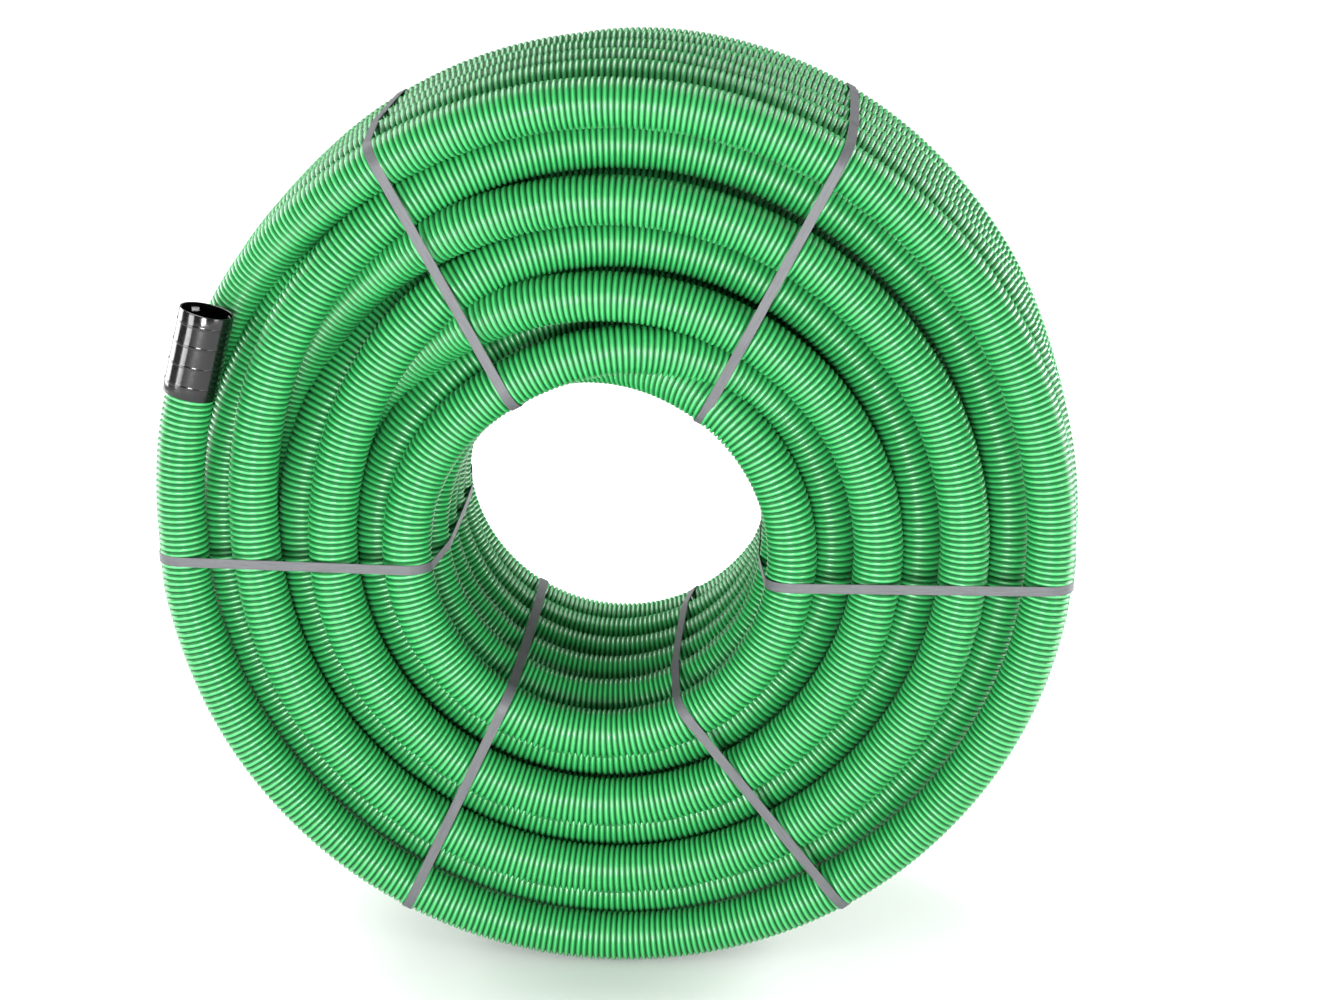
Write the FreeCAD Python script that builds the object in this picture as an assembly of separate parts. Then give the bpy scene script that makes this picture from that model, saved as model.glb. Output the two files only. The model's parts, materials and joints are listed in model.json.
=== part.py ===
"""Coil of corrugated cable duct with a push-on coupler, held by six plastic straps.

The coil stands on its rim.  Frame: millimetres, +Z up, +X right and +Y towards
the back face of the coil.  The origin is the middle of the flat that the coil
rests on.  The coil's axis runs along Y.  Angles round the coil are in degrees,
from +X towards +Z.
"""
import FreeCAD
import Part
import math
import os

Vec = FreeCAD.Vector

# ---- driving dimensions ---------------------------------------------------
DUCT_OD = 40.0              # outside of the corrugated wall
DUCT_ID = 32.0              # smooth inner wall
OUTER_TURN_R = 347.6        # centreline of the front turn of the outermost layer
INNER_TURN_R = 154.4        # centreline of the front turn of the innermost layer
BORE_SHIFT_X = -12.0        # the bore sits off the coil's centre, because the
BORE_SHIFT_Z = -14.9        # turns settle down and to one side
OUTER_CROWN = 5.8           # middle turns of the outer layer stand this far out
INNER_CROWN = 6.9           # and those of the inner layer this far in
ROW_PITCH = 52.0            # from turn to turn along the axis
ROWS = 6
END_SPREAD = 1.05           # the end rows lie a little further out than the pitch
REST_FLAT_DEPTH = 3.5       # how far the turns flatten where the coil stands

STRAP_WIDTH = 8.0
STRAP_THICKNESS = 0.8
STRAP_LAP = 34.0            # length of the double layer at the weld
STRAP_LAP_FROM = 26.0       # the weld's distance from the middle of the rim
# where each strap crosses the outer and the inner turn of the front face
STRAP_OUTER_ANGLES = (183.7, 121.3, 59.9, -5.7, -59.1, -118.4)
STRAP_INNER_ANGLES = (184.2, 118.2, 55.1, -7.7, -61.3, -121.1)

TAIL_START_ANGLE = 182.5    # where the free end leaves the coil
NOTCH_END_ANGLE = 137.0     # how far round the free end needs clear space
NOTCH_FLOOR_R = 324.0       # radius of the floor of that space
NOTCH_DEPTH = 44.0          # and its depth behind the front face

COUPLER_BASE = (-337.6, 111.6)   # X and Z of the sleeve's lower end, from the coil's axis
COUPLER_LEAN = 14.0              # its axis leans this far from upright, to the right
COUPLER_LENGTH = 70.0
COUPLER_BORE_R = 20.3
COUPLER_WALL = 1.4
LIP_HEIGHT = 0.5
LIP_WIDTH = 1.2
LIP_STATIONS = (10.0, 26.6, 43.4, 60.0)  # along the sleeve, from its lower end
STOP_BORE_R = 17.2
STOP_THICKNESS = 2.0
STOP_GAP = 0.3              # between the duct's end and the stop ring

# ---- sizes that follow ----------------------------------------------------
DUCT_R = DUCT_OD / 2.0
HALF_ROWS = ROW_PITCH * (ROWS - 1) / 2.0 * END_SPREAD
HALF_WIDTH = HALF_ROWS + DUCT_R
CROWN_R = OUTER_TURN_R + DUCT_R + OUTER_CROWN
AXIS_Z = CROWN_R - REST_FLAT_DEPTH
BORE_Z = AXIS_Z + BORE_SHIFT_Z
FRONT_ROW_Y = -HALF_ROWS
Y_AXIS = Vec(0, 1, 0)
LIP_R = COUPLER_BORE_R + COUPLER_WALL + LIP_HEIGHT
SLEEVE_R = COUPLER_BORE_R + COUPLER_WALL


def round_the_coil(angle, radius, y):
    """Point at an angle and a radius round the coil's axis."""
    a = math.radians(angle)
    return Vec(radius * math.cos(a), y, AXIS_Z + radius * math.sin(a))


def revolve(edges, axis_point):
    """Solid of revolution, about a line along Y, of a closed profile in the XY plane."""
    face = Part.Face(Part.Wire(edges))
    solid = face.revolve(axis_point, Y_AXIS, 360.0)
    if solid.Volume < 0:
        solid.reverse()
    return solid


def rim_solid(grow):
    """Disc with the coil's outer shape: rounded rims and a crowned edge, grown all over."""
    half = HALF_WIDTH + grow
    corner_r = DUCT_R + grow
    flat_r = OUTER_TURN_R
    rim_r = OUTER_TURN_R + corner_r
    s = corner_r * math.sqrt(0.5)
    arc_y = half - corner_r
    base = Vec(0, 0, AXIS_Z)

    def p(r, y):
        return Vec(r, y, AXIS_Z)
    edges = [
        Part.LineSegment(p(0, -half), p(flat_r, -half)).toShape(),
        Part.Arc(p(flat_r, -half), p(flat_r + s, -arc_y - s), p(rim_r, -arc_y)).toShape(),
        Part.Arc(p(rim_r, -arc_y), p(CROWN_R + grow, 0), p(rim_r, arc_y)).toShape(),
        Part.Arc(p(rim_r, arc_y), p(flat_r + s, arc_y + s), p(flat_r, half)).toShape(),
        Part.LineSegment(p(flat_r, half), p(0, half)).toShape(),
        Part.LineSegment(p(0, half), p(0, -half)).toShape(),
    ]
    return revolve(edges, base)


def bore_solid(grow):
    """Space of the coil's bore, with rounded mouths.  Growing the coil narrows it."""
    half = HALF_WIDTH + grow
    corner_r = DUCT_R + grow
    mouth_r = INNER_TURN_R
    wall_r = INNER_TURN_R - corner_r
    s = corner_r * math.sqrt(0.5)
    arc_y = half - corner_r
    throat_r = wall_r - INNER_CROWN

    def p(r, y):
        return Vec(BORE_SHIFT_X + r, y, BORE_Z)
    edges = [
        Part.LineSegment(p(0, -half), p(mouth_r, -half)).toShape(),
        Part.Arc(p(mouth_r, -half), p(mouth_r - s, -arc_y - s), p(wall_r, -arc_y)).toShape(),
        Part.Arc(p(wall_r, -arc_y), p(throat_r, 0), p(wall_r, arc_y)).toShape(),
        Part.Arc(p(wall_r, arc_y), p(mouth_r - s, arc_y + s), p(mouth_r, half)).toShape(),
        Part.LineSegment(p(mouth_r, half), p(0, half)).toShape(),
        Part.LineSegment(p(0, half), p(0, -half)).toShape(),
    ]
    return revolve(edges, Vec(BORE_SHIFT_X, 0, BORE_Z))


def ring(grow):
    """Coil's outer shape with its bore, all surfaces moved out by grow."""
    return rim_solid(grow).cut(bore_solid(grow))


def sector(angle_from, angle_to, inner_r, outer_r, y_from, y_to):
    """Block between two angles, two radii and two planes across the axis."""
    mid = (angle_from + angle_to) / 2.0

    def p(angle, radius):
        return round_the_coil(angle, radius, y_from)
    edges = [
        Part.Arc(p(angle_from, inner_r), p(mid, inner_r), p(angle_to, inner_r)).toShape(),
        Part.LineSegment(p(angle_to, inner_r), p(angle_to, outer_r)).toShape(),
        Part.Arc(p(angle_to, outer_r), p(mid, outer_r), p(angle_from, outer_r)).toShape(),
        Part.LineSegment(p(angle_from, outer_r), p(angle_from, inner_r)).toShape(),
    ]
    return Part.Face(Part.Wire(edges)).extrude(Vec(0, y_to - y_from, 0))


def make_coil():
    """Wound duct as one solid of its outer shape: open bore, rest flat, room for the free end."""
    clear = 1.0
    below = Part.makeBox(4 * CROWN_R, 4 * HALF_WIDTH, CROWN_R)
    below.translate(Vec(-2 * CROWN_R, -2 * HALF_WIDTH, -CROWN_R))
    notch = sector(NOTCH_END_ANGLE, TAIL_START_ANGLE, NOTCH_FLOOR_R, CROWN_R + DUCT_OD,
                   -HALF_WIDTH - clear, -HALF_WIDTH + NOTCH_DEPTH)
    return ring(0.0).cut(below).cut(notch)


def coupler_axis():
    """Direction of the sleeve's axis, from its lower end to its mouth."""
    a = math.radians(COUPLER_LEAN)
    return Vec(math.sin(a), 0, math.cos(a))


def on_coupler(distance):
    """Point on the sleeve's axis, this far from its lower end."""
    base = Vec(COUPLER_BASE[0], FRONT_ROW_Y, AXIS_Z + COUPLER_BASE[1])
    return base + coupler_axis() * distance


def tail_points():
    """Route of the free end, from the coil to the stop inside the sleeve."""
    start = round_the_coil(TAIL_START_ANGLE, OUTER_TURN_R, FRONT_ROW_Y)
    a = math.radians(TAIL_START_ANGLE)
    tangent = Vec(math.sin(a), 0, -math.cos(a))
    end = on_coupler(COUPLER_LENGTH / 2.0 - STOP_THICKNESS / 2.0 - STOP_GAP)
    return [
        start,
        start + tangent * 36.0,
        Vec(-347.0, FRONT_ROW_Y, AXIS_Z + 57.0),
        on_coupler(-20.0),
        end,
    ]


def smooth_route(points):
    """Straight runs joined by tangent arcs, each as large as its two runs allow."""
    edges = []
    radii = []
    last = points[0]
    for before, corner, after in zip(points, points[1:], points[2:]):
        run_in = corner - before
        run_out = after - corner
        turn = run_in.getAngle(run_out)
        setback = 0.45 * min(run_in.Length, run_out.Length)
        unit_in = run_in.normalize()
        unit_out = run_out.normalize()
        radius = setback / math.tan(turn / 2.0)
        radii.append(radius)
        arc_start = corner - unit_in * setback
        arc_end = corner + unit_out * setback
        to_centre = (unit_out - unit_in).normalize()
        centre = corner + to_centre * (radius / math.cos(turn / 2.0))
        middle = centre - to_centre * radius
        edges.append(Part.LineSegment(last, arc_start).toShape())
        edges.append(Part.Arc(arc_start, middle, arc_end).toShape())
        last = arc_end
    edges.append(Part.LineSegment(last, points[-1]).toShape())
    return Part.Wire(edges), radii


def swept_rod(route, radius, start, direction):
    """Round rod along a route."""
    ring_wire = Part.Wire(Part.makeCircle(radius, start, direction))
    return route.makePipeShell([ring_wire], True, False)


def make_tail():
    """Free end of the duct, a tube from the coil to the stop inside the sleeve."""
    points = tail_points()
    route, radii = smooth_route(points)
    direction = (points[1] - points[0]).normalize()
    wall = swept_rod(route, DUCT_R, points[0], direction)
    hollow = swept_rod(route, DUCT_ID / 2.0, points[0], direction)
    tube = wall.cut(hollow)
    expected = math.pi * (DUCT_R ** 2 - (DUCT_ID / 2.0) ** 2) * route.Length
    print("tail length %.1f mm, arc radii %s" % (route.Length, [round(r) for r in radii]))
    print("tail volume over section times length: %.4f" % (tube.Volume / expected))
    return tube


def make_coupler():
    """Push-on sleeve: plain barrel, four thin raised lips and a stop ring half way."""
    axis = coupler_axis()
    barrel = Part.makeCylinder(SLEEVE_R, COUPLER_LENGTH, on_coupler(0), axis)
    for station in LIP_STATIONS:
        lip = Part.makeCylinder(LIP_R, LIP_WIDTH, on_coupler(station - LIP_WIDTH / 2.0), axis)
        barrel = barrel.fuse(lip)
    barrel = barrel.cut(Part.makeCylinder(COUPLER_BORE_R, COUPLER_LENGTH, on_coupler(0), axis))
    stop_from = on_coupler((COUPLER_LENGTH - STOP_THICKNESS) / 2.0)
    stop = Part.makeCylinder(COUPLER_BORE_R, STOP_THICKNESS, stop_from, axis)
    stop = stop.cut(Part.makeCylinder(STOP_BORE_R, STOP_THICKNESS, stop_from, axis))
    return barrel.fuse(stop).removeSplitter()


def strap_plane(outer_angle, inner_angle):
    """A point of the strap's plane on the inner turn, and the way out across the face."""
    outer = round_the_coil(outer_angle, OUTER_TURN_R, 0)
    a = math.radians(inner_angle)
    inner = Vec(BORE_SHIFT_X + INNER_TURN_R * math.cos(a), 0, BORE_Z + INNER_TURN_R * math.sin(a))
    return inner, (outer - inner).normalize()


def plank(point, out, from_out, length, y_from, y_to):
    """Block as wide as a strap, lying in the strap's plane."""
    block = Part.makeBox(length, y_to - y_from, STRAP_WIDTH)
    block.translate(Vec(from_out, y_from, -STRAP_WIDTH / 2.0))
    side = out.cross(Y_AXIS)
    turn = FreeCAD.Rotation(out, Y_AXIS, side, "XYZ")
    block.Placement = FreeCAD.Placement(point, turn).multiply(block.Placement)
    return block


def make_strap(outer_angle, inner_angle, core, skin, lap_skin):
    """One tight loop round the coil's section, with a double layer where it is welded."""
    point, out = strap_plane(outer_angle, inner_angle)
    reach = CROWN_R + 3 * DUCT_OD - INNER_TURN_R
    far = HALF_WIDTH + DUCT_OD
    band = plank(point, out, -DUCT_OD - INNER_CROWN, reach, -far, far)
    loop = skin.common(band)
    rim = plank(point, out, OUTER_TURN_R - INNER_TURN_R, reach, STRAP_LAP_FROM - HALF_ROWS,
                STRAP_LAP_FROM - HALF_ROWS + STRAP_LAP)
    lap = lap_skin.common(rim)
    return loop.fuse(lap).cut(core).removeSplitter()


def save(name, shape):
    """Check one sub-part and write it."""
    shape.fix(1e-4, 1e-4, 1e-4)
    if not shape.isValid():
        raise ValueError(name + " is not a valid solid")
    print("%-12s solids %d  volume %.0f mm3" % (name, len(shape.Solids), shape.Volume))
    if len(shape.Solids) == 1:
        shape = shape.Solids[0]
    shape.exportStep("parts/%s.step" % name)


def main():
    """Build every sub-part."""
    os.makedirs("parts", exist_ok=True)
    save("hose_coil", make_coil())
    save("hose_tail", make_tail())
    save("coupler", make_coupler())
    core = ring(0.0)
    skin = ring(STRAP_THICKNESS).cut(core)
    lap_skin = ring(2 * STRAP_THICKNESS).cut(core)
    for number, angles in enumerate(zip(STRAP_OUTER_ANGLES, STRAP_INNER_ANGLES), 1):
        save("strap_%d" % number, make_strap(angles[0], angles[1], core, skin, lap_skin))


main()
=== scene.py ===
"""Coil of green corrugated cable duct with a push-on coupler, tied by six plastic straps.

The duct is one free cord: a free end in the coupler, then thirty-three turns that
lie in seven nested layers round an open bore.  Everything is in metres, in the
frame of the CAD model: +Z up, +Y to the back face, angles from +X towards +Z.
"""
import json
import logging
from dataclasses import dataclass, field
from enum import Enum
from math import cos, pi, radians, sin

import bpy
import numpy as np
from bpy.types import ID, Material, Node, NodeSocket, NodeTree, Object
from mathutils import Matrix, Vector


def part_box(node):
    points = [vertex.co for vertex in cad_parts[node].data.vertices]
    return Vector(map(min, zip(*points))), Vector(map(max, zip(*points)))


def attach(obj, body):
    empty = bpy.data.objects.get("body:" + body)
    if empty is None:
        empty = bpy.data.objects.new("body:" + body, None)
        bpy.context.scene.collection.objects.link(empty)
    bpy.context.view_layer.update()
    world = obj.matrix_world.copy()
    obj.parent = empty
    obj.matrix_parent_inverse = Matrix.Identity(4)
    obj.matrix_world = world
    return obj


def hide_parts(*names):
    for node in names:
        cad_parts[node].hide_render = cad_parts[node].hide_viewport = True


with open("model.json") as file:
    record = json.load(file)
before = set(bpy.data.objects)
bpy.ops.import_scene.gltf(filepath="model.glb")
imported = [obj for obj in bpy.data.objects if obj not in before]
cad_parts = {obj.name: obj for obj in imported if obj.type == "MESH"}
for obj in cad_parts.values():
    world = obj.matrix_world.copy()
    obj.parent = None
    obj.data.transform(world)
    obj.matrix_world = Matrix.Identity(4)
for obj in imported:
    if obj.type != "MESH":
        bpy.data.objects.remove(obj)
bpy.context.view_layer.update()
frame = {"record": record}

log = logging.getLogger("duct_coil")

MM = 0.001
Y_AXIS = np.array((0.0, 1.0, 0.0))


# ---- small helpers ----

def linear(hex_colour: str) -> tuple[float, float, float, float]:
    """Turn an sRGB hex colour into an opaque linear one.

    Args:
        hex_colour: six hex digits after a hash sign.

    Returns:
        Linear red, green and blue, and an alpha of 1.
    """
    parts = [int(hex_colour[i:i + 2], 16) / 255 for i in (1, 3, 5)]
    bent = [c / 12.92 if c <= 0.04045 else ((c + 0.055) / 1.055) ** 2.4 for c in parts]
    return (*bent, 1.0)


def give(tree: NodeTree, value: object, socket: NodeSocket) -> None:
    """Link an output to an input socket, or set the input's own value.

    Args:
        tree: node tree that holds both.
        value: output socket, or a plain value.
        socket: the input.
    """
    if isinstance(value, NodeSocket):
        tree.links.new(value, socket)
    else:
        socket.default_value = value


def add(tree: NodeTree, kind: str, settings: dict | None = None, links: dict | None = None) -> Node:
    """Add one node with its settings, values and links.

    Args:
        tree: node tree that gets the node.
        kind: Blender's name of the node.
        settings: attributes of the node.
        links: value or output socket for each input, by name or by place.

    Returns:
        The new node.
    """
    node = tree.nodes.new(kind)
    for name, value in (settings or {}).items():
        setattr(node, name, value)
    for key, value in (links or {}).items():
        if isinstance(key, int):
            socket = node.inputs[key]
        else:
            socket = next(s for s in node.inputs if s.name == key and s.enabled)
        give(tree, value, socket)
    return node


def new_object(name: str, data: ID) -> Object:
    """Put data in the scene as an object at the origin.

    Args:
        name: name of the object.
        data: its mesh, curve, camera or light.

    Returns:
        The object.
    """
    made = bpy.data.objects.new(name, data)
    bpy.context.scene.collection.objects.link(made)
    return made


def mesh_object(name: str, points: np.ndarray, faces: list, smooth_angle: float = 40.0) -> Object:
    """Make a mesh object that is smooth except over sharp edges.

    Args:
        name: name of the piece.
        points: one row for each vertex.
        faces: vertex numbers of each face.
        smooth_angle: edges that turn more than this many degrees stay sharp.

    Returns:
        The object, at the origin.
    """
    mesh = bpy.data.meshes.new(name)
    mesh.from_pydata([tuple(p) for p in points], [], faces)
    mesh.validate()
    mesh.shade_smooth()
    mesh.set_sharp_from_angle(angle=radians(smooth_angle))
    return new_object(name, mesh)


def ease(x: float) -> float:
    """Smooth step from 0 to 1."""
    return 0.5 - 0.5 * cos(pi * min(max(x, 0.0), 1.0))


def lengths(points: np.ndarray) -> np.ndarray:
    """Distance along a chain of points, at each of them."""
    gaps = np.linalg.norm(np.diff(points, axis=0), axis=1)
    return np.concatenate(([0.0], np.cumsum(gaps)))


def unit(v: np.ndarray) -> np.ndarray:
    """Rows of v at length 1."""
    return v / np.linalg.norm(v, axis=-1, keepdims=True)


# ---- finishes ----

def new_material(name: str) -> tuple[Material, NodeTree]:
    """Make a material with no nodes.

    Args:
        name: name of the material.

    Returns:
        The material, and its node tree.
    """
    made = bpy.data.materials.new(name)
    made.use_nodes = True
    made.node_tree.nodes.clear()
    return made, made.node_tree


@dataclass(frozen=True)
class ExtrudedPolyethylene:
    """High-density polyethylene, extruded and blown against corrugating moulds.

    The mould leaves a satin skin on the crests, and handling leaves a few pale scuffs.
    The grooves get painted shade: a dark, dull colour mixed in there stands in for
    the shade that falls in them.
    """
    name: str = "HDPE_extruded_corrugated_green"
    crest: str = "#2E9C50"
    crest_pale: str = "#37A75A"
    # painted shade: dark colour of the grooves, where shade falls
    groove: str = "#043414"
    scuff: str = "#E6F4E8"
    roughness: float = 0.33
    groove_roughness: float = 0.7
    blotch_mm: float = 90.0
    scuff_mm: float = 7.0
    scuff_from: float = 0.80
    scuff_full: float = 0.84
    grain_mm: float = 1.6
    grain_depth_mm: float = 0.3

    def material(self) -> Material:
        """Build the duct's material.

        Returns:
            The material.
        """
        made, tree = new_material(self.name)
        where = add(tree, "ShaderNodeTexCoord").outputs["Object"]
        # groove attribute: painted shade mask, 1 in the valleys and 0 on the crests
        depth = add(tree, "ShaderNodeAttribute", {"attribute_name": "groove"}).outputs["Fac"]
        blotch = add(tree, "ShaderNodeTexNoise", None, {
            "Vector": where, "Scale": 1 / (self.blotch_mm * MM), "Detail": 3.0})
        tint = add(tree, "ShaderNodeMix", {"data_type": "RGBA"}, {
            "Factor": blotch.outputs["Fac"], 6: linear(self.crest), 7: linear(self.crest_pale)})
        speck = add(tree, "ShaderNodeTexNoise", None, {
            "Vector": where, "Scale": 1 / (self.scuff_mm * MM), "Detail": 6.0, "Roughness": 0.75})
        rare = add(tree, "ShaderNodeMapRange", None, {
            "Value": speck.outputs["Fac"], "From Min": self.scuff_from, "From Max": self.scuff_full})
        colour = add(tree, "ShaderNodeMix", {"data_type": "RGBA"}, {
            "Factor": rare.outputs["Result"], 6: tint.outputs[2], 7: linear(self.scuff)})
        sheen = add(tree, "ShaderNodeMapRange", None, {
            "Value": blotch.outputs["Fac"], "From Min": 0.3, "From Max": 0.7,
            "To Min": self.roughness - 0.04, "To Max": self.roughness + 0.06})
        grain = add(tree, "ShaderNodeTexNoise", None, {
            "Vector": where, "Scale": 1 / (self.grain_mm * MM), "Detail": 2.0})
        bump = add(tree, "ShaderNodeBump", None, {
            "Strength": 0.08, "Distance": self.grain_depth_mm * MM, "Height": grain.outputs["Fac"]})
        crest = add(tree, "ShaderNodeBsdfPrincipled", None, {
            "Base Color": colour.outputs[2], "Roughness": sheen.outputs["Result"], "IOR": 1.51,
            "Specular IOR Level": 0.8, "Normal": bump.outputs["Normal"]})
        # painted shade: dark BSDF with little gloss, mixed into the grooves by the mask
        groove = add(tree, "ShaderNodeBsdfPrincipled", None, {
            "Base Color": linear(self.groove), "Roughness": self.groove_roughness, "IOR": 1.51,
            "Specular IOR Level": 0.1})
        both = add(tree, "ShaderNodeMixShader", None, {
            0: depth, 1: crest.outputs["BSDF"], 2: groove.outputs["BSDF"]})
        add(tree, "ShaderNodeOutputMaterial", None, {"Surface": both.outputs["Shader"]})
        return made


@dataclass(frozen=True)
class PlainPolyethylene:
    """The same polyethylene, extruded smooth for the inner wall, with a clean satin face."""
    name: str = "HDPE_extruded_smooth_green"
    colour: str = "#3FB865"
    roughness: float = 0.38
    flow_mm: float = 12.0

    def material(self) -> Material:
        """Build the inner wall's material.

        Returns:
            The material.
        """
        made, tree = new_material(self.name)
        where = add(tree, "ShaderNodeTexCoord").outputs["Object"]
        flow = add(tree, "ShaderNodeTexNoise", None, {
            "Vector": where, "Scale": 1 / (self.flow_mm * MM), "Detail": 4.0})
        gloss = add(tree, "ShaderNodeMapRange", None, {
            "Value": flow.outputs["Fac"], "To Min": self.roughness - 0.08,
            "To Max": self.roughness + 0.08})
        shader = add(tree, "ShaderNodeBsdfPrincipled", None, {
            "Base Color": linear(self.colour), "Roughness": gloss.outputs["Result"], "IOR": 1.51})
        add(tree, "ShaderNodeOutputMaterial", None, {"Surface": shader.outputs["BSDF"]})
        return made


@dataclass(frozen=True)
class EmbossedStrapping:
    """Grey polypropylene strapping, stretched and embossed with a fine grid.

    The stretch draws the plastic into paler lengthwise streaks, and the
    embossing rollers leave shallow squares.
    """
    name: str = "PP_strapping_embossed_grey"
    dark: str = "#3E3F41"
    pale: str = "#5C5D60"
    roughness: float = 0.48
    emboss_mm: float = 1.3
    emboss_depth_mm: float = 0.15
    streak_mm: float = 1.0
    streak_length: float = 20.0

    def material(self) -> Material:
        """Build the straps' material.

        Returns:
            The material.
        """
        made, tree = new_material(self.name)
        along = add(tree, "ShaderNodeUVMap", {"uv_map": "strap"}).outputs["UV"]
        stretched = add(tree, "ShaderNodeMapping", None, {
            "Vector": along, "Scale": (1 / self.streak_length, 1.0, 1.0)})
        streak = add(tree, "ShaderNodeTexNoise", None, {
            "Vector": stretched.outputs["Vector"], "Scale": 1 / (self.streak_mm * MM), "Detail": 3.0})
        tint = add(tree, "ShaderNodeMix", {"data_type": "RGBA"}, {
            "Factor": streak.outputs["Fac"], 6: linear(self.dark), 7: linear(self.pale)})
        squares = add(tree, "ShaderNodeTexVoronoi", {"distance": "CHEBYCHEV"}, {
            "Vector": along, "Scale": 1 / (self.emboss_mm * MM), "Randomness": 0.0})
        dents = add(tree, "ShaderNodeBump", {"invert": True}, {
            "Strength": 0.5, "Distance": self.emboss_depth_mm * MM,
            "Height": squares.outputs["Distance"]})
        shader = add(tree, "ShaderNodeBsdfPrincipled", None, {
            "Base Color": tint.outputs[2], "Roughness": self.roughness, "IOR": 1.49,
            "Specular IOR Level": 0.25, "Metallic": 0.05, "Normal": dents.outputs["Normal"]})
        add(tree, "ShaderNodeOutputMaterial", None, {"Surface": shader.outputs["BSDF"]})
        return made


@dataclass(frozen=True)
class MouldedPolypropylene:
    """Black polypropylene, injection moulded in a polished tool: glossy, with faint flow marks."""
    name: str = "PP_moulded_black"
    colour: str = "#060607"
    roughness: float = 0.13
    flow_mm: float = 6.0
    skin_mm: float = 0.9
    skin_depth_mm: float = 0.1

    def material(self) -> Material:
        """Build the coupler's material.

        Returns:
            The material.
        """
        made, tree = new_material(self.name)
        where = add(tree, "ShaderNodeTexCoord").outputs["Object"]
        flow = add(tree, "ShaderNodeTexNoise", None, {
            "Vector": where, "Scale": 1 / (self.flow_mm * MM), "Detail": 5.0, "Roughness": 0.65})
        gloss = add(tree, "ShaderNodeMapRange", None, {
            "Value": flow.outputs["Fac"], "From Min": 0.3, "From Max": 0.7,
            "To Min": self.roughness - 0.05, "To Max": self.roughness + 0.06})
        fine = add(tree, "ShaderNodeTexNoise", None, {
            "Vector": where, "Scale": 1 / (self.skin_mm * MM), "Detail": 2.0})
        skin = add(tree, "ShaderNodeBump", None, {
            "Strength": 0.12, "Distance": self.skin_depth_mm * MM, "Height": fine.outputs["Fac"]})
        shader = add(tree, "ShaderNodeBsdfPrincipled", None, {
            "Base Color": linear(self.colour), "Roughness": gloss.outputs["Result"], "IOR": 1.49,
            "Normal": skin.outputs["Normal"]})
        add(tree, "ShaderNodeOutputMaterial", None, {"Surface": shader.outputs["BSDF"]})
        return made


@dataclass(frozen=True)
class PaintedFloor:
    """Pale studio floor, painted matt."""
    name: str = "studio_paint_matt_white"
    colour: str = "#E6E6E6"

    def material(self) -> Material:
        """Build the floor's material.

        Returns:
            The material.
        """
        made, tree = new_material(self.name)
        shader = add(tree, "ShaderNodeBsdfPrincipled", None, {
            "Base Color": linear(self.colour), "Roughness": 0.9, "Specular IOR Level": 0.2})
        add(tree, "ShaderNodeOutputMaterial", None, {"Surface": shader.outputs["BSDF"]})
        return made


# ---- the duct ----

class Detail(Enum):
    """Sides of the duct's wall in a stretch, by how much of the stretch shows."""
    SEEN = 22
    BETWEEN = 14
    BURIED = 8


@dataclass(frozen=True)
class Layer:
    """One layer of turns: its rows in winding order, and where its turns step.

    A layer begins with a step inward and a step across, each given by the angle
    of its middle and half the angle that it takes.  Its other steps go to the
    next row: first, other and last are their middles, and half is their half.
    """
    number: int
    rows: tuple[float, ...]
    inward: tuple[float, float]
    across: tuple[float, float]
    first: float
    other: float
    last: float
    half: float


@dataclass(frozen=True)
class Step:
    """A smooth change of layer or row round one angle of the coil."""
    middle: float
    half: float
    rows: float = 0.0
    layers: float = 0.0

    def done(self, angle: float) -> float:
        """Share of the step that lies behind an angle."""
        return ease((angle - self.middle + self.half) / (2 * self.half))


LAYERS = (
    Layer(7, (0, 1, 2, 3, 4, 5), (0, 1), (0, 1), 142, 142, 150, 22),
    Layer(6, (4.5, 3.5, 2.5, 1.5, 0.5), (118, 28), (140, 26), 106, 109, 112, 26),
    Layer(5, (0, 1, 4, 5), (155, 34), (108, 26), 137, 140, 150, 26),
    Layer(4, (4.5, 3.5, 1.5, 0.5), (118, 28), (140, 26), 108, 136, 142, 26),
    Layer(3, (0, 1, 4, 5), (141, 36), (104, 30), 134, 138, 146, 30),
    Layer(2, (4.5, 3.5, 1.5, 0.5), (95, 38), (118, 36), 84, 100, 112, 38),
    Layer(1, (0, 1, 2, 3, 4, 5), (84, 44), (56, 44), 80, 88, 96, 48),
)


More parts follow.
